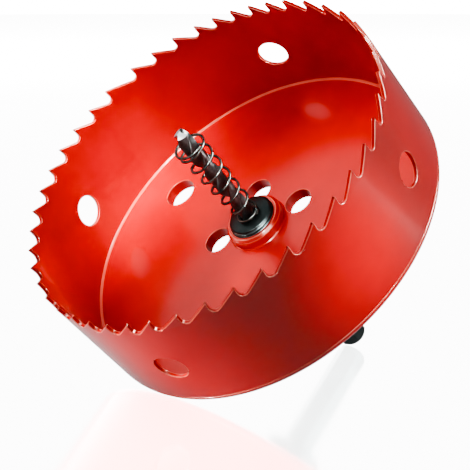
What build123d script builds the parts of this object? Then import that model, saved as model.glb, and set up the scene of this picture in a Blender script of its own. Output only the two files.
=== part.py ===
from build123d import *
import math
import os

# Hole saw: a toothed steel cup on a threaded arbor, with a pilot drill and an ejector spring.
# The saw is built upright about its spindle, teeth up, with the outer face of the cap at height 0.
# It is then laid as it rests: on the rounded corner of the cap and the end of the shank.

# Cup: one rolled and welded band of toothed strip, standing on a rebate round the cap
cup_diameter = 152.4
wall_thickness = 1.5
cup_depth = 50.7
cap_thickness = 5.0
cap_corner_radius = 3.0
band_seat_land = 0.4
spigot_clearance = 0.04
weld_bead = 1.0

# Teeth: hooked, in groups of different pitch, counted round the rim from the strip's weld
tooth_depth = 5.0
gullet_radius = 1.9
gullet_facets = 6
rake_setback = 0.15
tip_land = 0.3
first_tooth_angle = 161.0
group_tooth_counts = [12, 5, 19, 5, 3]
group_pitch_ratios = [1.0, 0.9, 1.07, 0.83, 1.02]
weld_gap_ratio = 1.35

# Holes through the wall, for prising out the cut plug
wall_hole_diameter = 12.7
wall_hole_height = 24.0
wall_hole_angles = [15.5, 109.0, 193.0, 285.0]

# Holes through the cap: three round the boss for drive pins, two further out for pushing the plug
pin_hole_diameter = 11.2
pin_hole_clearance = 0.1
pin_hole_angles = [46.0, 123.5, 212.0]
push_hole_diameter = 13.0
push_hole_inset = 22.2
push_hole_angles = [169.5, 349.5]

# Boss: a ring welded to the inside of the cap, threaded through with it
boss_diameter = 25.4
boss_height = 4.6
boss_top_chamfer = 1.2
boss_foot_fillet = 0.8

# Arbor: threaded nose, round collar with spanner flats, hexagonal shank
nose_diameter = 19.05
thread_clearance = 0.05
nose_projection = 2.0
nose_edge_chamfer = 0.6
collar_diameter = 24.0
collar_length = 24.0
collar_edge_chamfer = 1.0
spanner_flat_width = 21.0
spanner_flat_length = 10.0
shank_across_flats = 11.11
shank_length = 51.0
shank_end_radius = 1.0

# Pilot drill, held in the arbor by the set screw on a flat
drill_diameter = 6.35
drill_clearance = 0.05
drill_above_teeth = 11.0
drill_length = 101.6
drill_web = 1.8
drill_land = 5.2
drill_end_chamfer = 0.3
flute_length = 56.0
flute_lead = 36.0
flute_floor_width = 1.2
flute_start_angle = -32.0
flute_overrun = 0.5
point_angle = 135.0
drill_flat_depth = 0.4
drill_flat_length = 9.0

# Set screw in the collar, square to the drill
screw_diameter = 6.0
screw_recess = 1.7
screw_point_chamfer = 1.0
screw_clearance = 0.05
screw_height = 14.0
screw_angle = 90.0
screw_socket_width = 3.0
screw_socket_depth = 3.0

# Ejector spring: a conical coil round the drill, wide at the point of the drill
wire_diameter = 1.0
spring_clearance = 0.425
spring_flare = 2.0
spring_below_point = 6.8
open_turns = 6
closed_turns = 1
closed_turn_gap = 0.1
steps_per_turn = 16
wire_facets = 6

# Worked-out sizes
cup_radius = cup_diameter / 2
inner_radius = cup_radius - wall_thickness
band_seat_height = cap_corner_radius + band_seat_land
pin_hole_radius = (boss_diameter + pin_hole_diameter) / 2 + pin_hole_clearance
push_hole_radius = inner_radius - push_hole_inset
boss_top = cap_thickness + boss_height
nose_top = boss_top + nose_projection
arbor_length = collar_length + shank_length
drill_tip = cup_depth + drill_above_teeth
bore_bottom = drill_tip - drill_length
flute_reach = drill_diameter / 2 + flute_overrun


def turned(points):
    """A solid of revolution about the spindle from (radius, height) points."""
    return revolve(Plane.XZ * make_face(Polyline(points, close=True)), Axis.Z)


def at_angle(radius, angle, height=0.0):
    """A place on a circle round the spindle."""
    turn = math.radians(angle)
    return (radius * math.cos(turn), radius * math.sin(turn), height)


def post(radius, bottom, top, x=0.0, y=0.0):
    """A round post parallel to the spindle."""
    return Pos(x, y, (bottom + top) / 2) * Cylinder(radius, top - bottom)


def tooth_gaps():
    """The angle of each tooth tip and the pitch from it to the next, in degrees."""
    shares = []
    for count, ratio in zip(group_tooth_counts, group_pitch_ratios):
        shares += [ratio] * count
    shares.append(weld_gap_ratio)
    unit = 360 / sum(shares)
    gaps = []
    angle = first_tooth_angle
    for share in shares:
        gaps.append((angle, share * unit))
        angle += share * unit
    return gaps


def gullet_outline(pitch):
    """What is cut between a tip at 0 and the next tip at one pitch, seen on the flat strip."""
    centre_x = gullet_radius - rake_setback
    centre_z = gullet_radius - tooth_depth
    next_tip = pitch - tip_land
    reach = math.hypot(next_tip - centre_x, centre_z)
    slope = math.atan2(-centre_z, next_tip - centre_x) + math.asin(gullet_radius / reach)
    turns = [math.pi + step / gullet_facets * (math.pi / 2 + slope) for step in range(gullet_facets + 1)]
    bottom = [(centre_x + gullet_radius * math.cos(turn), centre_z + gullet_radius * math.sin(turn))
              for turn in turns]
    return make_face(Polyline((0, 0), *bottom, (next_tip, 0), (next_tip, tooth_depth), (0, tooth_depth),
                              close=True))


def gullet_cutter(angle, pitch):
    """The gullet outline driven radially through the wall, just ahead of the tip at this angle."""
    width = 2 * cup_radius * math.sin(math.radians(pitch) / 2)
    outward = Vector(*at_angle(1, angle + pitch / 2))
    along = Vector(*at_angle(1, angle + pitch / 2 + 90))
    middle = Vector(*at_angle(cup_radius * math.cos(math.radians(pitch) / 2), angle + pitch / 2, cup_depth))
    plane = Plane(origin=middle - along * (width / 2), x_dir=along, z_dir=outward)
    return extrude(plane * gullet_outline(width), 3 * wall_thickness, both=True)


def toothed_band():
    """The wall, its teeth cut by the gullets between them, and the holes through it."""
    wall = post(cup_radius, band_seat_height, cup_depth) - post(inner_radius, band_seat_height, cup_depth)
    cutters = [gullet_cutter(angle, pitch) for angle, pitch in tooth_gaps()]
    for angle in wall_hole_angles:
        place = Rot(Z=angle) * Pos(inner_radius, 0, wall_hole_height) * Rot(Y=90)
        cutters.append(place * Cylinder(wall_hole_diameter / 2, 6 * wall_thickness))
    return wall - cutters


def cap_plate():
    """A thick disc with a rounded outer corner, a rebate for the band and the weld bead inside it."""
    spigot = inner_radius - spigot_clearance
    corner = cup_radius - cap_corner_radius
    bore = nose_diameter / 2 + thread_clearance
    inside = Polyline((corner, 0), (bore, 0), (bore, cap_thickness), (spigot - weld_bead, cap_thickness),
                      (spigot, cap_thickness + weld_bead), (spigot, band_seat_height),
                      (cup_radius, band_seat_height), (cup_radius, cap_corner_radius))
    round_edge = RadiusArc((cup_radius, cap_corner_radius), (corner, 0), cap_corner_radius)
    disc = revolve(Plane.XZ * make_face(inside + round_edge), Axis.Z)
    holes = [(pin_hole_diameter / 2, pin_hole_radius, angle) for angle in pin_hole_angles]
    holes += [(push_hole_diameter / 2, push_hole_radius, angle) for angle in push_hole_angles]
    cutters = []
    for radius, reach, angle in holes:
        x, y, _ = at_angle(reach, angle)
        cutters.append(post(radius, -cap_thickness, 2 * cap_thickness, x, y))
    return disc - cutters


def centre_boss():
    """The threaded ring on the inside of the cap, with a chamfered top and a small weld at its foot."""
    outer = boss_diameter / 2
    bore = nose_diameter / 2 + thread_clearance
    shoulder = outer - boss_foot_fillet
    points = [(bore, cap_thickness), (outer, cap_thickness), (shoulder, cap_thickness + boss_foot_fillet),
              (shoulder, boss_top - boss_top_chamfer), (shoulder - boss_top_chamfer, boss_top),
              (bore, boss_top)]
    return turned(points)


def arbor_body():
    """Nose, collar and shank turned and milled from one bar, bored for the drill."""
    nose = nose_diameter / 2
    collar = collar_diameter / 2
    edge = collar_edge_chamfer
    bar = turned([(0, -collar_length), (collar - edge, -collar_length), (collar, edge - collar_length),
                  (collar, -edge), (collar - edge, 0), (nose, 0), (nose, nose_top - nose_edge_chamfer),
                  (nose - nose_edge_chamfer, nose_top), (0, nose_top)])
    flats_height = spanner_flat_length / 2 - collar_length
    for side in (-1, 1):
        cut = Pos(side * (spanner_flat_width / 2 + collar), 0, flats_height)
        bar = bar - cut * Box(2 * collar, 3 * collar, spanner_flat_length)
    flat = shank_across_flats / 2
    corner = flat / math.cos(math.radians(30))
    end = -arbor_length
    hexagon = extrude(Plane.XY * Rot(Z=30) * RegularPolygon(corner, 6), -arbor_length)
    start = end + shank_end_radius
    rise = shank_across_flats
    side = Polyline((flat, start), (flat + rise, start + rise), (flat + rise, -collar_edge_chamfer),
                    (0, -collar_edge_chamfer), (0, end), (flat - shank_end_radius, end))
    round_end = RadiusArc((flat - shank_end_radius, end), (flat, start), -shank_end_radius)
    shaft = revolve(Plane.XZ * make_face(side + round_end), Axis.Z)
    body = bar + (hexagon & shaft)
    body = body - post(drill_diameter / 2 + drill_clearance, bore_bottom, nose_top + 1)
    tapped = screw_place() * Pos(0, 0, collar / 2) * Cylinder(screw_diameter / 2 + screw_clearance, collar)
    return body - tapped


def screw_place():
    """Where the set screw lies: its own Z runs outward from the spindle."""
    return Rot(Z=screw_angle) * Pos(0, 0, -screw_height) * Rot(Y=90)


def pilot_drill():
    """A twist drill: two helical flutes, a cone point and a plain shank with a flat."""
    radius = drill_diameter / 2
    point = radius / math.tan(math.radians(point_angle / 2))
    blank = turned([(0, bore_bottom), (radius - drill_end_chamfer, bore_bottom),
                    (radius, bore_bottom + drill_end_chamfer), (radius, drill_tip - point), (0, drill_tip)])
    bottom = Pos(0, 0, drill_tip - flute_length)
    run = flute_length + flute_overrun
    spine = bottom * Line((0, 0, 0), (0, 0, run))
    guide = bottom * Helix(flute_lead, run, drill_diameter)
    for side in (1, -1):
        blank = blank - sweep(bottom * flute_section(side), path=spine, binormal=guide)
    flat = screw_place() * Pos(0, 0, drill_diameter - drill_flat_depth)
    return Rot(Z=flute_start_angle) * blank - flat * Box(drill_flat_length, drill_diameter, drill_diameter)


def flute_section(side):
    """One flute cut square across the drill, its floor on the web, reaching just past the lands."""
    land = math.degrees(drill_land / drill_diameter)
    spread = (180 - 2 * land) / 4
    rim = [at_angle(side * flute_reach, land + step * spread) for step in range(5)]
    half = side * flute_floor_width / 2
    floor = side * drill_web / 2
    return make_face(Polyline(*rim, (-half, floor, 0), (half, floor, 0), close=True))


def ejector_spring():
    """Wire wound on a cone: a closed turn at each end and open turns between."""
    base = (drill_diameter + wire_diameter) / 2 + spring_clearance
    turns = open_turns + 2 * closed_turns
    points = []
    for step in range(turns * steps_per_turn + 1):
        turn = step / steps_per_turn
        radius = base + spring_flare * turn / turns
        points.append(at_angle(radius, 360 * turn, nose_top + coil_height(turn)))
    path = Polyline(*points)
    section = Plane(origin=path @ 0, z_dir=path % 0) * RegularPolygon(wire_diameter / 2, wire_facets)
    return sweep(section, path=path, transition=Transition.RIGHT)


def coil_height(turn):
    """Height of the wire's middle above the nose after so many turns, with the end turns lying close."""
    rise = drill_tip - spring_below_point - nose_top - wire_diameter
    closed_rise = closed_turns * (wire_diameter + closed_turn_gap)
    open_turn = min(max(turn - closed_turns, 0), open_turns)
    closed_turn = turn - open_turn
    open_pitch = (rise - 2 * closed_rise) / open_turns
    return wire_diameter / 2 + open_turn * open_pitch + closed_turn * closed_rise / closed_turns


def drill_set_screw():
    """A socket set screw, its point on the flat of the drill."""
    start = drill_diameter / 2 - drill_flat_depth
    end = collar_diameter / 2 - screw_recess
    radius = screw_diameter / 2
    body = turned([(0, start), (radius - screw_point_chamfer, start), (radius, start + screw_point_chamfer),
                   (radius, end), (0, end)])
    hexagon = RegularPolygon(screw_socket_width / 2, 6, major_radius=False)
    return screw_place() * (body - Pos(0, 0, end) * extrude(hexagon, -screw_socket_depth))


def rest_tilt():
    """The lean of the spindle at which cap corner and shank end touch one flat surface."""
    run = (cup_radius - cap_corner_radius) - (shank_across_flats / 2 - shank_end_radius)
    drop = arbor_length - shank_end_radius + cap_corner_radius
    apart = math.hypot(run, drop)
    return math.degrees(math.atan2(drop, run) - math.asin((cap_corner_radius - shank_end_radius) / apart))


def rest_height(tilt):
    """How far the upright saw's origin is lifted so that it just touches the surface."""
    lean = math.radians(tilt)
    corner = cup_radius - cap_corner_radius
    return corner * math.sin(lean) - cap_corner_radius * math.cos(lean) + cap_corner_radius


pieces = {
    "toothed_band": toothed_band(),
    "cap_plate": cap_plate(),
    "centre_boss": centre_boss(),
    "arbor_body": arbor_body(),
    "pilot_drill": pilot_drill(),
    "ejector_spring": ejector_spring(),
    "drill_set_screw": drill_set_screw(),
}

tilt = rest_tilt()
laid = {name: Pos(0, 0, rest_height(tilt)) * Rot(X=tilt) * piece for name, piece in pieces.items()}
box = Compound(list(laid.values())).bounding_box()
centred = Pos(-(box.min.X + box.max.X) / 2, -(box.min.Y + box.max.Y) / 2, 0)

os.makedirs("parts", exist_ok=True)
for name, piece in laid.items():
    export_step(centred * piece, f"parts/{name}.step")
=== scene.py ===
import bmesh
import bpy
import math
from mathutils import Matrix, Vector


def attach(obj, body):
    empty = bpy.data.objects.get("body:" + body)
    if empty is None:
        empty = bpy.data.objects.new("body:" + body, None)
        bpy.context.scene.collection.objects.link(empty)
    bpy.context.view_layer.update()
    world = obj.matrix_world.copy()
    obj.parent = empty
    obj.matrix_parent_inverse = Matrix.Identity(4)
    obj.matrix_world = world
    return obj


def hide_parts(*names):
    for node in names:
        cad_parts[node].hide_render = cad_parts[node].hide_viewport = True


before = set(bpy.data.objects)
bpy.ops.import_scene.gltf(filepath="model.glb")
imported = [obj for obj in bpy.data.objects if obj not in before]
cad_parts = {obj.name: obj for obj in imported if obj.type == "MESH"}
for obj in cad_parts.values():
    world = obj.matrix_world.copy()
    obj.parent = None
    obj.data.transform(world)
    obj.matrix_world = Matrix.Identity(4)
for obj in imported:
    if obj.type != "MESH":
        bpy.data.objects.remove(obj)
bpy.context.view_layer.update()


# Toothed band: one strip of steel 1.5 mm thick, its hooked teeth and four round holes punched out flat,
# then rolled into a ring, welded end to end, set and painted red all over. Sizes here are in mm, with the
# saw upright, teeth up, and the outer face of its cap at height 0.
mm = 0.001
cup_radius = 76.2
wall_thickness = 1.5
cup_depth = 50.7
band_foot = 3.4
strip_length = 2 * math.pi * cup_radius
tooth_depth = 5.0
tooth_set = 0.2
set_pattern = (1, -1, 0)
tip_land = 0.3
gullet_radius = 1.9
gullet_points = 10
rake_setback = 0.15
first_tooth_angle = 161.0
tooth_groups = [(12, 1.0), (5, 0.9), (19, 1.07), (5, 0.83), (3, 1.02), (1, 1.35)]
wall_hole_radius = 6.35
wall_hole_height = 24.0
wall_hole_angles = [15.5, 109.0, 193.0, 285.0]
hole_points = 56
bend_rows = (cup_depth - tooth_depth - 0.6, 38.0, 17.0, 9.0)
bend_columns = 300
cut_snap = 0.0001
merge_distance = 0.02
paint_round = 0.3
# Material slot of the paler red given to rounded edges and the weld run: a painted highlight.
painted_highlight_slot = 1
lean = math.radians(47.172275605647414)
rest_place = (0, 0.0153076794, 0.0546455651)
as_it_lies = Matrix.Translation(rest_place) @ Matrix.Rotation(lean, 4, "X") @ Matrix.Scale(mm, 4)


def tooth_line():
    """The cut edge of the flat strip, as (distance along, depth below the tips), and where each tooth ends.

    Each group of teeth has its own pitch, and the wide last pitch is the gap at the weld.
    """
    ratios = [ratio for count, ratio in tooth_groups for _ in range(count)]
    unit = strip_length / sum(ratios)
    middle = gullet_radius - rake_setback
    height = gullet_radius - tooth_depth
    edge, roots = [], []
    tip = tip_land
    for ratio in ratios:
        back = ratio * unit - tip_land - middle
        slope = math.atan2(-height, back) + math.asin(gullet_radius / math.hypot(back, height))
        edge += [(tip - tip_land, 0), (tip, 0)]
        for step in range(gullet_points):
            turn = math.pi + step / (gullet_points - 1) * (math.pi / 2 + slope)
            edge.append((tip + middle + gullet_radius * math.cos(turn), height + gullet_radius * math.sin(turn)))
        roots.append(tip + middle)
        tip += ratio * unit
    return edge, roots


def loop_of(bm, points):
    """A closed line of edges through these points."""
    corners = [bm.verts.new(point) for point in points]
    return [bm.edges.new((a, b)) for a, b in zip(corners, corners[1:] + corners[:1])]


def turns_round(count):
    """The angles that divide a full circle into so many steps."""
    return [2 * math.pi * step / count for step in range(count)]


def circle_points(radius, count, x=0.0, y=0.0, z=0.0):
    """Points round a circle that lies level."""
    return [(x + radius * math.cos(turn), y + radius * math.sin(turn), z) for turn in turns_round(count)]


def cut_across(bm, place, direction):
    """Divides the strip along a straight line, so that it can bend there."""
    everything = bm.verts[:] + bm.edges[:] + bm.faces[:]
    bmesh.ops.bisect_plane(bm, geom=everything, plane_co=place, plane_no=direction, dist=cut_snap)


def make_piece(name, bm, node, finish, *materials):
    """Lays a shape that was drawn upright in mm as the saw lies, in the place of its plain solid."""
    mesh = bpy.data.meshes.new(name)
    bm.to_mesh(mesh)
    bm.free()
    mesh.transform(as_it_lies)
    mesh.shade_smooth()
    piece = bpy.data.objects.new(name, mesh)
    bpy.context.scene.collection.objects.link(piece)
    for material in materials:
        mesh.materials.append(material)
    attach(piece, "root")
    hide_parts(node)
    return piece


def round_edges_with_painted_highlight(piece, angle):
    """Rounds the edges sharper than an angle and gives them the paler red of a painted highlight, and keeps the
    flat faces flat.
    """
    bevel = piece.modifiers.new("rounded_edges", "BEVEL")
    bevel.width = paint_round * mm
    bevel.segments = 3
    bevel.limit_method = "ANGLE"
    bevel.angle_limit = math.radians(angle)
    bevel.use_clamp_overlap = False
    # The rounded edges take the paler red: painted highlight.
    bevel.material = painted_highlight_slot
    bevel.loop_slide = False
    bevel.harden_normals = True
    level = piece.modifiers.new("flat_faces", "WEIGHTED_NORMAL")
    level.keep_sharp = True
    level.weight = 60


def node_tools(tree):
    """Short ways to add a node with its values to a tree, and to join two nodes."""

    def add(kind, **settings):
        node = tree.nodes.new(kind)
        for key, value in settings.items():
            if key in node.inputs:
                node.inputs[key].default_value = value
            else:
                setattr(node, key, value)
        return node

    return add, tree.links.new


def new_material(name):
    """A new material and its shader, with the short ways to add and join its nodes."""
    material = bpy.data.materials.new(name)
    material.use_nodes = True
    add, join = node_tools(material.node_tree)
    return material, material.node_tree.nodes["Principled BSDF"], add, join


def upright_place(add, join):
    """Where a point of the surface is with the saw upright about its spindle, in metres."""
    place = add("ShaderNodeTexCoord")
    stand = add("ShaderNodeMapping", vector_type="TEXTURE", Location=rest_place, Rotation=(lean, 0, 0))
    join(place.outputs["Object"], stand.inputs["Vector"])
    return stand.outputs["Vector"]


def noise_over(add, join, place, **settings):
    """A cloudy pattern over the surface."""
    noise = add("ShaderNodeTexNoise", **settings)
    join(place, noise.inputs["Vector"])
    return noise.outputs["Fac"]


def colour_by(add, join, pattern, shader, low, deep, high, light):
    """Colours the surface deep where the pattern is under its low value, and light where it is over its high."""
    tone = add("ShaderNodeValToRGB")
    for stop, position, colour in zip(tone.color_ramp.elements, (low, high), (deep, light)):
        stop.position = position
        stop.color = (*colour, 1)
    join(pattern, tone.inputs["Fac"])
    join(tone.outputs["Color"], shader.inputs["Base Color"])


def roughen_by(add, join, pattern, shader, smoothest, roughest):
    """Lets the roughness of the surface follow a pattern."""
    spread = add("ShaderNodeMapRange")
    spread.inputs["To Min"].default_value = smoothest
    spread.inputs["To Max"].default_value = roughest
    join(pattern, spread.inputs["Value"])
    join(spread.outputs["Result"], shader.inputs["Roughness"])


def relief_by(add, join, pattern, strength, depth):
    """Raises the surface by a pattern, to a depth in metres."""
    relief = add("ShaderNodeBump", Strength=strength, Distance=depth)
    join(pattern, relief.inputs["Height"])
    return relief


def red_paint(name, deep, light):
    """Gloss enamel: an even red coat with faint clouding, under a clear gloss that lies in orange peel."""
    material, shader, add, join = new_material(name)
    place = upright_place(add, join)
    clouds = noise_over(add, join, place, Scale=38.0, Detail=3.0, Roughness=0.55)
    colour_by(add, join, clouds, shader, low=0.3, deep=deep, high=0.72, light=light)
    roughen_by(add, join, clouds, shader, smoothest=0.28, roughest=0.38)
    peel = noise_over(add, join, place, Scale=520.0, Detail=1.5, Roughness=0.4)
    skin = relief_by(add, join, peel, strength=1.0, depth=0.000012)
    wave = noise_over(add, join, place, Scale=70.0, Detail=1.0)
    ripple = relief_by(add, join, wave, strength=1.0, depth=0.00003)
    join(ripple.outputs["Normal"], skin.inputs["Normal"])
    join(skin.outputs["Normal"], shader.inputs["Coat Normal"])
    join(ripple.outputs["Normal"], shader.inputs["Normal"])
    shader.inputs["Specular IOR Level"].default_value = 0.6
    shader.inputs["Specular Tint"].default_value = (1.0, 0.45, 0.3, 1)
    shader.inputs["Coat Weight"].default_value = 1.0
    shader.inputs["Coat Roughness"].default_value = 0.13
    shader.inputs["Coat IOR"].default_value = 1.5
    return material


red = red_paint("red_paint", (0.56, 0.0022, 0.0012), (0.68, 0.0045, 0.0022))
# A paler red laid on rounded edges and on the weld run: painted highlight.
edge_highlight_red = red_paint("painted_highlight_red", (0.78, 0.12, 0.08), (0.86, 0.20, 0.14))
edge, roots = tooth_line()
strip = bmesh.new()
outline = [(along, cup_depth + depth, 0) for along, depth in edge]
outline += [(strip_length, cup_depth, 0), (strip_length, band_foot, 0), (0, band_foot, 0)]
lines = loop_of(strip, outline)
start_angle = math.radians(first_tooth_angle) - tip_land / cup_radius
for angle in wall_hole_angles:
    along = (math.radians(angle) - start_angle) % (2 * math.pi) * cup_radius
    lines += loop_of(strip, circle_points(wall_hole_radius, hole_points, along, wall_hole_height))
bmesh.ops.triangle_fill(strip, edges=lines, use_beauty=True, normal=(0, 0, 1))
for height in bend_rows:
    cut_across(strip, (0, height, 0), (0, 1, 0))
for column in range(1, bend_columns):
    cut_across(strip, (strip_length * column / bend_columns, 0, 0), (1, 0, 0))
for face in strip.faces:
    if face.normal.z < 0:
        face.normal_flip()
for corner in strip.verts:
    along, height = corner.co.x, corner.co.y
    tooth = sum(1 for root in roots if root < along) % len(roots)
    rise = max(0.0, (height - cup_depth + tooth_depth) / tooth_depth)
    radius = cup_radius + rise * tooth_set * set_pattern[tooth % len(set_pattern)]
    turn = start_angle + along / cup_radius
    corner.co = (radius * math.cos(turn), radius * math.sin(turn), height)
bmesh.ops.remove_doubles(strip, verts=strip.verts[:], dist=merge_distance)
# The second material, the paler red, is the painted highlight on the band's rounded edges.
band = make_piece("band_with_teeth", strip, "toothed_band", "red_enamel", red, edge_highlight_red)
thick = band.modifiers.new("strip_thickness", "SOLIDIFY")
thick.thickness = wall_thickness * mm
thick.offset = -1
thick.use_even_offset = True
round_edges_with_painted_highlight(band, angle=50)


# Cap: a 5 mm steel disc with a rounded outer corner, holes for the drive pins and for pushing out the plug,
# and a small weld run all round where the band meets it. It is painted with the band, the weld run and the
# rounded edges in the paler red of a painted highlight.
cap_thickness = 5.0
cap_corner_radius = 3.0
corner_steps = 10
cap_bore_radius = 9.575
bore_points = 96
weld_radius = 1.0
weld_steps = 6
seat_gap = 0.04
pin_hole_radius = 5.6
pin_circle_radius = 18.4
pin_hole_angles = [46.0, 123.5, 212.0]
push_hole_radius = 6.5
push_circle_radius = 52.5
push_hole_angles = [169.5, 349.5]
cap_columns = 240
under_margin = 0.5
inside_margin = 0.4
seat_radius = cup_radius - wall_thickness - seat_gap
weld_toe = cup_radius - wall_thickness - weld_radius
corner_middle = cup_radius - cap_corner_radius


def level_ring(bm, radius, height, count):
    """A ring of corners round the spindle."""
    return [bm.verts.new(point) for point in circle_points(radius, count, z=height)]


def join_rings(bm, lower, upper):
    """Faces between two rings of as many corners."""
    count = len(lower)
    return [bm.faces.new((lower[i], lower[(i + 1) % count], upper[(i + 1) % count], upper[i]))
            for i in range(count)]


def edges_round(bm, ring):
    """The edges of a ring, made where they are missing."""
    pairs = zip(ring, ring[1:] + ring[:1])
    return [bm.edges.get(pair) or bm.edges.new(pair) for pair in pairs]


def quarter_turns(steps):
    """The angles that divide a quarter of a circle into so many steps, with both ends."""
    return [math.radians(90 * step / steps) for step in range(steps + 1)]


cap = bmesh.new()
outside = []
for turn in quarter_turns(corner_steps):
    outside.append((corner_middle + cap_corner_radius * math.sin(turn),
                    cap_corner_radius - cap_corner_radius * math.cos(turn)))
outside += [(cup_radius, band_foot), (seat_radius, band_foot)]
weld_start = len(outside)
outside.append((seat_radius, cap_thickness + weld_radius))
for turn in quarter_turns(weld_steps)[1:]:
    outside.append((weld_toe + weld_radius * math.cos(turn),
                    cap_thickness + weld_radius - weld_radius * math.sin(turn)))
rings = [level_ring(cap, radius, height, cap_columns) for radius, height in outside]
for number, (lower, upper) in enumerate(zip(rings, rings[1:])):
    for face in join_rings(cap, lower, upper):
        # The weld run takes the paler red: a painted highlight along the joint.
        face.material_index = painted_highlight_slot if number >= weld_start else 0
for rim, rim_radius, height, margin in ((rings[0], *outside[0], under_margin),
                                        (rings[-1], *outside[-1], inside_margin)):
    inner = level_ring(cap, rim_radius - margin, height, cap_columns)
    join_rings(cap, inner, rim)
    lines = edges_round(cap, inner)
    lines += loop_of(cap, circle_points(cap_bore_radius, bore_points, z=height))
    for radius, reach, angles in ((pin_hole_radius, pin_circle_radius, pin_hole_angles),
                                  (push_hole_radius, push_circle_radius, push_hole_angles)):
        for turn in map(math.radians, angles):
            x, y = reach * math.cos(turn), reach * math.sin(turn)
            lines += loop_of(cap, circle_points(radius, hole_points, x, y, height))
    bmesh.ops.triangle_fill(cap, edges=lines, use_beauty=True, normal=(0, 0, 1))
open_edges = [line for line in cap.edges if line.is_boundary]
bmesh.ops.bridge_loops(cap, edges=open_edges, use_pairs=True)
bmesh.ops.recalc_face_normals(cap, faces=cap.faces[:])
cap_piece = make_piece("cap_disc", cap, "cap_plate", "red_enamel", red, edge_highlight_red)
round_edges_with_painted_highlight(cap_piece, angle=40)


# Boss: a turned steel ring welded on inside the cap and tapped right through with it, painted over, so
# that its foot runs into the cap in a small round and its top edge is a wide chamfer, bright from the lamps
# and from a painted highlight on its rounded edges.
boss_radius = 12.7
boss_top = 9.6
boss_chamfer = 1.2
boss_foot = 0.8
foot_steps = 6
thread_bore_radius = 9.575
boss_columns = 128
shoulder = boss_radius - boss_foot
boss_profile = [(thread_bore_radius, cap_thickness)]
for turn in quarter_turns(foot_steps):
    boss_profile.append((boss_radius - boss_foot * math.sin(turn),
                         cap_thickness + boss_foot * (1 - math.cos(turn))))
boss_profile += [(shoulder, boss_top - boss_chamfer), (shoulder - boss_chamfer, boss_top),
                 (thread_bore_radius, boss_top)]
boss_ring = bmesh.new()
rings = [level_ring(boss_ring, radius, height, boss_columns) for radius, height in boss_profile]
for lower, upper in zip(rings, rings[1:] + rings[:1]):
    join_rings(boss_ring, lower, upper)
bmesh.ops.recalc_face_normals(boss_ring, faces=boss_ring.faces[:])
boss = make_piece("boss_ring", boss_ring, "centre_boss", "red_enamel", red, edge_highlight_red)
round_edges_with_painted_highlight(boss, angle=30)


# Arbor: nose, collar and shank turned from one steel bar, the nose threaded into the boss, the collar
# milled with two spanner flats and tapped for the set screw, the shank a plain hexagon. Blacked all over.
nose_radius = 9.525
nose_top = 11.6
nose_chamfer = 0.6
nose_edge_drop = 0.15
nose_edge_inset = 0.1
nose_face_inset = 0.35
thread_pitch = 1.411
thread_height = 0.55
thread_start = 0.4
thread_steepness = 1.5
thread_crest = 0.25
thread_rows = 84
collar_radius = 12.0
collar_length = 24.0
collar_chamfer = 1.0
spanner_flat = 10.5
spanner_flat_top = -14.0
shank_flat = 5.555
shank_corner_round = 0.12
shank_end = -75.0
shank_end_radius = 1.0
shank_end_steps = 6
corner_fade_start = 1.0
corner_fade_end = 2.2
corner_fade_reach = 0.7
drill_bore_radius = 3.225
drill_bore_bottom = -39.9
bore_chamfer = 0.5
arbor_columns = 144
screw_hole_radius = 3.05
screw_hole_length = 14.0
screw_hole_middle = 9.0
screw_hole_points = 48
screw_height = -14.0
nearly_nothing = 0.000001


def hexagon_reach(turn, flat, round_off):
    """How far a hexagon reaches at an angle, its corners rounded off a little."""
    off = (turn + math.pi / 6) % (math.pi / 3) - math.pi / 6
    return min(flat / math.cos(off), flat / math.cos(math.pi / 6) - round_off)


def black_oxide():
    """Blacked steel: near black with a faint grey bloom, and fine turning marks round the spindle."""
    material, shader, add, join = new_material("black_oxide")
    place = upright_place(add, join)
    bloom = noise_over(add, join, place, Scale=180.0, Detail=4.0, Roughness=0.6)
    colour_by(add, join, bloom, shader, low=0.3, deep=(0.045, 0.060, 0.060),
              high=0.75, light=(0.085, 0.108, 0.106))
    roughen_by(add, join, bloom, shader, smoothest=0.24, roughest=0.42)
    split = add("ShaderNodeSeparateXYZ")
    join(place, split.inputs["Vector"])
    flat_place = add("ShaderNodeCombineXYZ")
    join(split.outputs["X"], flat_place.inputs["X"])
    join(split.outputs["Y"], flat_place.inputs["Y"])
    reach = add("ShaderNodeVectorMath", operation="LENGTH")
    join(flat_place.outputs["Vector"], reach.inputs[0])
    travel = add("ShaderNodeMath", operation="ADD")
    join(reach.outputs["Value"], travel.inputs[0])
    join(split.outputs["Z"], travel.inputs[1])
    marks = add("ShaderNodeTexNoise", noise_dimensions="1D", Scale=9000.0, Detail=2.0)
    join(travel.outputs["Value"], marks.inputs["W"])
    cut = relief_by(add, join, marks.outputs["Fac"], strength=0.35, depth=0.00001)
    join(cut.outputs["Normal"], shader.inputs["Normal"])
    shader.inputs["Metallic"].default_value = 1.0
    return material


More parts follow.
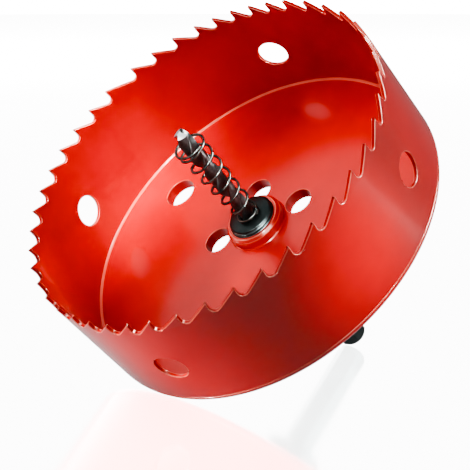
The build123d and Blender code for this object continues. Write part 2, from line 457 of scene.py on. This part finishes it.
def bar_rows():
    """The bar from the shank end up over the nose and down its bore: heights, each with its reach by angle."""
    rows = []

    def row(height, reach):
        rows.append((height, reach))

    def shank(turn):
        return hexagon_reach(turn, shank_flat, shank_corner_round)

    def milled(turn):
        return min(collar_radius, spanner_flat / max(abs(math.cos(turn)), nearly_nothing))

    for quarter in quarter_turns(shank_end_steps):
        fall = shank_end_radius * (1 - math.cos(quarter))
        inset = shank_flat - shank_end_radius + shank_end_radius * math.sin(quarter)
        row(shank_end + fall, lambda turn, reach=inset: reach)
    full_shank = shank_end + shank_end_radius
    row(full_shank + corner_fade_start, lambda turn: min(shank(turn), shank_flat + corner_fade_reach))
    row(full_shank + corner_fade_end, shank)
    row(-collar_length, shank)
    row(-collar_length, lambda turn: min(milled(turn), collar_radius - collar_chamfer))
    row(-collar_length + collar_chamfer, milled)
    row(spanner_flat_top, milled)
    row(spanner_flat_top, lambda turn: collar_radius)
    row(-collar_chamfer, lambda turn: collar_radius)
    row(0.0, lambda turn: collar_radius - collar_chamfer)
    row(0.0, lambda turn: nose_radius - thread_height)
    for step in range(thread_rows + 1):
        height = thread_start + (nose_top - nose_chamfer - thread_start) * step / thread_rows

        def thread(turn, height=height):
            phase = (height / thread_pitch - turn / (2 * math.pi)) % 1.0
            fall = thread_steepness * abs(2 * phase - 1) - thread_crest
            return nose_radius - thread_height * min(1.0, max(0.0, fall))

        row(height, thread)
    row(nose_top - nose_edge_drop, lambda turn: nose_radius - nose_chamfer - nose_edge_inset)
    row(nose_top, lambda turn: nose_radius - nose_chamfer - nose_face_inset)
    row(nose_top, lambda turn: drill_bore_radius + bore_chamfer)
    row(nose_top - bore_chamfer, lambda turn: drill_bore_radius)
    row(drill_bore_bottom, lambda turn: drill_bore_radius)
    return rows


def skin_over(bm, levels):
    """The faces over a stack of rings, closed at its first ring."""
    for lower, upper in zip(levels, levels[1:]):
        join_rings(bm, lower, upper)
    bm.faces.new(levels[0][::-1])


def final_mesh(piece):
    """The mesh of an object with its modifiers worked out."""
    bpy.context.view_layer.update()
    return bpy.data.meshes.new_from_object(piece.evaluated_get(bpy.context.evaluated_depsgraph_get()))


arbor = bmesh.new()
levels = []
for height, reach in bar_rows():
    levels.append([arbor.verts.new((reach(turn) * math.cos(turn), reach(turn) * math.sin(turn), height))
                   for turn in turns_round(arbor_columns)])
skin_over(arbor, levels)
arbor.faces.new(levels[-1])
bmesh.ops.recalc_face_normals(arbor, faces=arbor.faces[:])
blacked = black_oxide()
arbor_piece = make_piece("arbor_bar", arbor, "arbor_body", "black_oxide", blacked)
screw_hole = bmesh.new()
bmesh.ops.create_cone(screw_hole, cap_ends=True, segments=screw_hole_points, radius1=screw_hole_radius,
                      radius2=screw_hole_radius, depth=screw_hole_length)
screw_hole.transform(Matrix.Translation((0, screw_hole_middle, screw_height))
                     @ Matrix.Rotation(math.radians(90), 4, "X"))
screw_hole.transform(as_it_lies)
cutter_mesh = bpy.data.meshes.new("screw_hole")
screw_hole.to_mesh(cutter_mesh)
screw_hole.free()
cutter = bpy.data.objects.new("screw_hole", cutter_mesh)
bpy.context.scene.collection.objects.link(cutter)
tap = arbor_piece.modifiers.new("screw_hole", "BOOLEAN")
tap.operation = "DIFFERENCE"
tap.solver = "EXACT"
tap.object = cutter
tapped = final_mesh(arbor_piece)
arbor_piece.modifiers.clear()
arbor_piece.data = tapped
bpy.data.objects.remove(cutter)
tapped.shade_smooth()
tapped.set_sharp_from_angle(angle=math.radians(32))


# Pilot drill: a quarter-inch twist drill ground from blacked high-speed steel, two helical flutes left
# black, its point ground bright. A flat on its plain shank takes the set screw.
drill_radius = 3.175
drill_tip = 61.7
drill_web = 1.8
drill_land = 5.2
margin_angle = 0.2
margin_relief = 0.12
flute_length = 56.0
flute_lead = 36.0
flute_start = math.radians(-32)
flute_bottom = drill_tip - flute_length
flute_run_out = 5.0
flute_rows = 150
point_angle = math.radians(135)
point_slope = 1 / math.tan(point_angle / 2)
relief_slope = 0.2
relief_start = 0.9
point_steps = 10
settling_rounds = 12
end_chamfer = 0.3
screw_flat = 2.775
screw_flat_bottom = -18.5
screw_flat_top = -9.5
screw_flat_ramp = 0.1
plain_margin = 0.2
ground = 1
drill_columns = 96
drill_turns = turns_round(drill_columns)


def flute_reach(turn):
    """How far the fluted section reaches at an angle: full at the two lands, down to the web between."""
    land = drill_land / drill_radius / 2
    rim_x, rim_y = drill_radius * math.cos(land), drill_radius * math.sin(land)
    half_web = drill_web / 2
    middle = (rim_x ** 2 + rim_y ** 2 - half_web ** 2) / (2 * (rim_y - half_web))
    sweep = middle - half_web
    off = abs((turn + math.pi / 2) % math.pi - math.pi / 2)
    if off <= land:
        return drill_radius - (margin_relief if off < land - margin_angle else 0.0)
    x, y = math.cos(off), math.sin(off)
    ahead = middle * y - math.sqrt(max(sweep ** 2 - (middle * x) ** 2, 0))
    return min(drill_radius, ahead)


def helix_turn(height):
    """How far round the flutes have turned at a height."""
    return flute_start + 2 * math.pi * (height - flute_bottom) / flute_lead


def point_height(x, y):
    """Height of the ground point: two flats that meet in the chisel edge."""
    turn = -helix_turn(drill_tip)
    along = x * math.cos(turn) - y * math.sin(turn)
    across = x * math.sin(turn) + y * math.cos(turn)
    behind = across * (1 if along > 0 else -1) + relief_start
    return drill_tip - abs(along) * point_slope - relief_slope * max(0.0, behind)


def on_the_point(turn, reach, height):
    """Where a line that winds with the flutes comes out through the ground point, from a first guess."""
    for _ in range(settling_rounds):
        spin = turn + helix_turn(height)
        height = point_height(reach * math.cos(spin), reach * math.sin(spin))
    return reach * math.cos(spin), reach * math.sin(spin), height


def blacked_drill():
    """Blacked drill steel: dark grey, ground round and round, so light runs along it in a streak."""
    material, shader, add, join = new_material("blacked_drill")
    grain = noise_over(add, join, upright_place(add, join), Scale=900.0, Detail=3.0, Roughness=0.6)
    colour_by(add, join, grain, shader, low=0.35, deep=(0.018, 0.034, 0.032),
              high=0.7, light=(0.058, 0.098, 0.092))
    roughen_by(add, join, grain, shader, smoothest=0.30, roughest=0.42)
    scuff = relief_by(add, join, grain, strength=0.6, depth=0.00001)
    join(scuff.outputs["Normal"], shader.inputs["Normal"])
    spindle = add("ShaderNodeCombineXYZ", X=0.0, Y=-math.sin(lean), Z=math.cos(lean))
    join(spindle.outputs["Vector"], shader.inputs["Tangent"])
    shader.inputs["Anisotropic"].default_value = 0.9
    shader.inputs["Specular IOR Level"].default_value = 1.0
    return material


def ground_steel():
    """Bare steel fresh from the wheel: bright, with fine straight grinding lines."""
    material, shader, add, join = new_material("ground_steel")
    stretch = add("ShaderNodeMapping", Scale=(1.0, 14.0, 1.0))
    join(upright_place(add, join), stretch.inputs["Vector"])
    grind = noise_over(add, join, stretch.outputs["Vector"], Scale=700.0, Detail=3.0)
    colour_by(add, join, grind, shader, low=0.0, deep=(0.62, 0.64, 0.66), high=1.0, light=(0.95, 0.96, 0.97))
    roughen_by(add, join, grind, shader, smoothest=0.3, roughest=0.5)
    score = relief_by(add, join, grind, strength=0.5, depth=0.00001)
    join(score.outputs["Normal"], shader.inputs["Normal"])
    shader.inputs["Metallic"].default_value = 1.0
    return material


drill = bmesh.new()
plain_rows = [(drill_bore_bottom, drill_radius - end_chamfer, drill_radius),
              (drill_bore_bottom + end_chamfer, drill_radius, drill_radius),
              (screw_flat_bottom - screw_flat_ramp, drill_radius, drill_radius),
              (screw_flat_bottom, drill_radius, screw_flat),
              (screw_flat_top, drill_radius, screw_flat),
              (screw_flat_top + screw_flat_ramp, drill_radius, drill_radius),
              (flute_bottom - plain_margin, drill_radius, drill_radius)]
levels = []
for height, radius, flat in plain_rows:
    level = []
    for turn in drill_turns:
        x, y = radius * math.cos(turn + flute_start), radius * math.sin(turn + flute_start)
        level.append(drill.verts.new((x, min(y, flat), height)))
    levels.append(level)
tops = []
for turn in drill_turns:
    reach = flute_reach(turn)
    tops.append(on_the_point(turn, reach, drill_tip - reach * point_slope)[2])
for step in range(flute_rows + 1):
    level = []
    for turn, top in zip(drill_turns, tops):
        height = flute_bottom + (top - flute_bottom) * step / flute_rows
        run_out = min(1.0, (height - flute_bottom) / flute_run_out)
        reach = drill_radius - (drill_radius - flute_reach(turn)) * math.sin(run_out * math.pi / 2)
        spin = turn + helix_turn(height)
        level.append(drill.verts.new((reach * math.cos(spin), reach * math.sin(spin), height)))
    levels.append(level)
skin_over(drill, levels)
rim = levels[-1]
for step in range(1, point_steps):
    scale = 1 - step / point_steps
    level = [drill.verts.new(on_the_point(turn, flute_reach(turn) * scale, drill_tip)) for turn in drill_turns]
    for face in join_rings(drill, rim, level):
        face.material_index = ground
    rim = level
centre = drill.verts.new((0, 0, point_height(0, 0)))
for a, b in zip(rim, rim[1:] + rim[:1]):
    drill.faces.new((a, b, centre)).material_index = ground
bmesh.ops.recalc_face_normals(drill, faces=drill.faces[:])
drill_piece = make_piece("twist_drill", drill, "pilot_drill", "drill_steel", blacked_drill(), ground_steel())
drill_piece.data.set_sharp_from_angle(angle=math.radians(28))


# Ejector spring: hard-drawn steel wire, 1 mm thick, wound on a cone round the drill, its smallest turn on
# the nose and one close turn at each end. It is blacked like the drill.
wire_radius = 0.5
coil_base_radius = 4.1
coil_flare = 2.0
coil_base = 11.6
coil_top = 54.9
open_turns = 6
coil_turns = open_turns + 2
closed_rise = 1.1
turn_points = 24


def coil_height(turn):
    """Height of the wire's middle above the nose after so many turns."""
    rise = coil_top - coil_base - 2 * wire_radius
    open_turn = min(max(turn - 1, 0), open_turns)
    return wire_radius + open_turn * (rise - 2 * closed_rise) / open_turns + (turn - open_turn) * closed_rise


def spring_wire():
    """Blacked spring wire: dark, smooth, with pale scuffs along its length."""
    material, shader, add, join = new_material("spring_wire")
    scuffs = noise_over(add, join, upright_place(add, join), Scale=420.0, Detail=3.0, Roughness=0.65)
    colour_by(add, join, scuffs, shader, low=0.4, deep=(0.07, 0.09, 0.085), high=0.75, light=(0.24, 0.26, 0.23))
    roughen_by(add, join, scuffs, shader, smoothest=0.2, roughest=0.38)
    drawn = relief_by(add, join, scuffs, strength=0.5, depth=0.000008)
    join(drawn.outputs["Normal"], shader.inputs["Normal"])
    shader.inputs["Metallic"].default_value = 1.0
    return material


coil_line = bpy.data.curves.new("coil_line", "CURVE")
coil_line.dimensions = "3D"
wire = coil_line.splines.new("NURBS")
wire.points.add(coil_turns * turn_points)
for step, point in enumerate(wire.points):
    turn = step / turn_points
    reach = coil_base_radius + coil_flare * turn / coil_turns
    spin = 2 * math.pi * turn
    place = as_it_lies @ Vector((reach * math.cos(spin), reach * math.sin(spin), coil_base + coil_height(turn)))
    point.co = (*place, 1)
wire.order_u = 4
wire.use_endpoint_u = True
coil_line.resolution_u = 3
coil_line.bevel_depth = wire_radius * mm
coil_line.bevel_resolution = 4
coil_line.use_fill_caps = True
drawing = bpy.data.objects.new("coil_line", coil_line)
bpy.context.scene.collection.objects.link(drawing)
coil_mesh = final_mesh(drawing)
bpy.data.objects.remove(drawing)
coil_mesh.shade_smooth()
coil_mesh.set_sharp_from_angle(angle=math.radians(50))
coil_mesh.materials.clear()
coil_mesh.materials.append(spring_wire())
coil = bpy.data.objects.new("wound_spring", coil_mesh)
bpy.context.scene.collection.objects.link(coil)
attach(coil, "root")
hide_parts("ejector_spring")


# Set screw: a small blacked screw with a hexagon socket, run into the collar until its point bears on the
# flat of the drill.
screw_radius = 3.0
screw_end = 10.3
screw_end_chamfer = 0.3
screw_point_length = 1.0
screw_point_hollow = 0.35
socket_flat = 1.5
socket_depth = 3.0
screw_columns = 72
screw_profile = [(screw_point_hollow, screw_flat), (screw_radius - screw_point_length, screw_flat),
                 (screw_radius, screw_flat + screw_point_length), (screw_radius, screw_end - screw_end_chamfer),
                 (screw_radius - screw_end_chamfer, screw_end)]
screw = bmesh.new()
levels = [level_ring(screw, radius, height, screw_columns) for radius, height in screw_profile]
for height in (screw_end, screw_end - socket_depth):
    level = []
    for turn in turns_round(screw_columns):
        reach = hexagon_reach(turn, socket_flat, round_off=0.0)
        level.append(screw.verts.new((reach * math.cos(turn), reach * math.sin(turn), height)))
    levels.append(level)
skin_over(screw, levels)
screw.faces.new(levels[-1])
bmesh.ops.recalc_face_normals(screw, faces=screw.faces[:])
screw.transform(Matrix.Translation((0, 0, screw_height)) @ Matrix.Rotation(math.radians(-90), 4, "X"))
screw_piece = make_piece("socket_screw", screw, "drill_set_screw", "black_oxide", blacked)
screw_piece.data.set_sharp_from_angle(angle=math.radians(30))


# Studio: a white gloss floor that runs out of sight, under an even white sky with one soft bright patch.
# Soft lamps light the saw, narrow spots make the glows in its paint, and three lamps glint on its edges
# and on the drill's point. A long lens looks on from a little above the floor. Sizes are in metres here.
floor_reach = 30
floor_drop = 0.0002
floor_grey = 0.3
floor_white = 1.6
floor_mirror = 12.0
floor_roughness = 0.1
floor_in_paint = 0.3
sky_level = 0.18
sky_white = 8.0
patch_direction = (-0.69, -0.20, 0.70)
patch_edge = 40
patch_core = 16
patch_level = 0.42
camera_place = (0.3563, -0.3544, 0.1413)
camera_direction = (-0.6879, 0.7118, -0.1418)

floor_mesh = bpy.data.meshes.new("floor")
floor_corners = [(x * floor_reach, y * floor_reach, -floor_drop) for x, y in ((-1, -1), (1, -1), (1, 1), (-1, 1))]
floor_mesh.from_pydata(floor_corners, [], [(0, 1, 2, 3)])
floor = bpy.data.objects.new("floor", floor_mesh)
bpy.context.scene.collection.objects.link(floor)
white = bpy.data.materials.new("white_floor")
white.use_nodes = True
tree = white.node_tree
tree.nodes.remove(tree.nodes["Principled BSDF"])
add, join = node_tools(tree)
matt = add("ShaderNodeBsdfDiffuse", Color=(floor_grey, floor_grey, floor_grey, 1))
shine = add("ShaderNodeEmission", Strength=floor_white)
gloss = add("ShaderNodeBsdfGlossy", Color=(floor_mirror, floor_mirror, floor_mirror, 1), Roughness=floor_roughness)
seen = add("ShaderNodeAddShader")
join(shine.outputs[0], seen.inputs[0])
join(gloss.outputs[0], seen.inputs[1])
ray = add("ShaderNodeLightPath")
mirrored = add("ShaderNodeMath", operation="MULTIPLY")
mirrored.inputs[1].default_value = floor_in_paint
join(ray.outputs["Is Glossy Ray"], mirrored.inputs[0])
pale = add("ShaderNodeEmission")
join(mirrored.outputs[0], pale.inputs["Strength"])
lit = add("ShaderNodeAddShader")
join(matt.outputs[0], lit.inputs[0])
join(pale.outputs[0], lit.inputs[1])
mixed = add("ShaderNodeMixShader")
join(ray.outputs["Is Camera Ray"], mixed.inputs[0])
join(lit.outputs[0], mixed.inputs[1])
join(seen.outputs[0], mixed.inputs[2])
join(mixed.outputs[0], tree.nodes["Material Output"].inputs["Surface"])
floor_mesh.materials.append(white)

sky = bpy.data.worlds.new("studio")
bpy.context.scene.world = sky
sky.use_nodes = True
backdrop = sky.node_tree.nodes["Background"]
backdrop.inputs["Color"].default_value = (1, 1, 1, 1)
add, join = node_tools(sky.node_tree)
heading = add("ShaderNodeTexCoord")
toward = add("ShaderNodeVectorMath", operation="DOT_PRODUCT")
toward.inputs[1].default_value = Vector(patch_direction).normalized()
join(heading.outputs["Generated"], toward.inputs[0])
patch = add("ShaderNodeMapRange", interpolation_type="SMOOTHSTEP")
patch.inputs["From Min"].default_value = math.cos(math.radians(patch_edge))
patch.inputs["From Max"].default_value = math.cos(math.radians(patch_core))
patch.inputs["To Max"].default_value = patch_level
join(toward.outputs["Value"], patch.inputs["Value"])
total = add("ShaderNodeMath", operation="ADD")
total.inputs[1].default_value = sky_level
join(patch.outputs["Result"], total.inputs[0])
ray = add("ShaderNodeLightPath")
plain = add("ShaderNodeMix", B=sky_white)
join(ray.outputs["Is Camera Ray"], plain.inputs["Factor"])
join(total.outputs["Value"], plain.inputs["A"])
join(plain.outputs["Result"], backdrop.inputs["Strength"])


def lamp(name, kind, place, target, power):
    """A studio lamp, turned to face a point of the saw."""
    data = bpy.data.lights.new(name, kind)
    data.energy = power
    holder = bpy.data.objects.new(name, data)
    bpy.context.scene.collection.objects.link(holder)
    holder.location = place
    holder.rotation_euler = (Vector(target) - Vector(place)).to_track_quat("-Z", "Y").to_euler()
    return holder


def soft_lamp(name, place, target, power, size=0.5):
    """A lamp with a round white cloth before it."""
    holder = lamp(name, "AREA", place, target, power)
    holder.data.shape = "DISK"
    holder.data.size = size
    return holder


def spot(name, place, target, power, size, width, blend=1.0):
    """A spot, with the size of its lens, the width of its beam in degrees and how softly the beam ends."""
    holder = lamp(name, "SPOT", place, target, power)
    holder.data.shadow_soft_size = size
    holder.data.spot_size = math.radians(width)
    holder.data.spot_blend = blend
    return holder


steel_glint = spot("steel_glint", (0.22, -0.62, 0.46), (0, -0.012, 0.078), power=60, size=0.05, width=8,
                   blend=0.6)
spot("left_glow", (0.15, -0.50, 0.52), (-0.070, -0.004, 0.084), power=70, size=0.035, width=8)
spot("right_glow", (0.60, -0.25, 0.35), (0.0738, -0.0145, 0.060), power=20, size=0.012, width=5)
spot("plate_fill", (0.02, -0.58, 0.60), (0.030, 0.042, 0.094), power=15, size=0.04, width=11)
spot("low_front", (-0.28, -0.637, 0.012), (0.018, -0.056, 0.012), power=46, size=0.03, width=7, blend=0.8)
right_back = soft_lamp("right_back", (0.50, 0.60, 0.32), (0, 0, 0.06), power=6.5)
left_key = soft_lamp("left_key", (-0.56, -0.28, 0.72), (0, 0, 0.05), power=6.0)
edge_glint = soft_lamp("edge_glint", (0.62, 0.27, 0.66), (0, -0.02, 0.085), power=36)
front_edge_glint = soft_lamp("front_edge_glint", (0.50, -0.51, 0.40), (0.03, -0.03, 0.08), power=6)
for not_mirrored in (right_back, left_key):
    not_mirrored.visible_glossy = False
for only_mirrored in (steel_glint, edge_glint, front_edge_glint):
    only_mirrored.visible_diffuse = False
bpy.context.scene.view_settings.view_transform = "AgX"
bpy.context.scene.view_settings.look = "AgX - High Contrast"

camera_data = bpy.data.cameras.new("camera")
camera = bpy.data.objects.new("camera", camera_data)
bpy.context.scene.collection.objects.link(camera)
bpy.context.scene.camera = camera
camera.location = camera_place
camera.rotation_euler = Vector(camera_direction).to_track_quat("-Z", "Y").to_euler()
camera_data.lens = 101.75
camera_data.sensor_width = 36
camera_data.shift_x = -0.0588
camera_data.shift_y = -0.0767
camera_data.clip_start = 0.01
camera_data.clip_end = 200
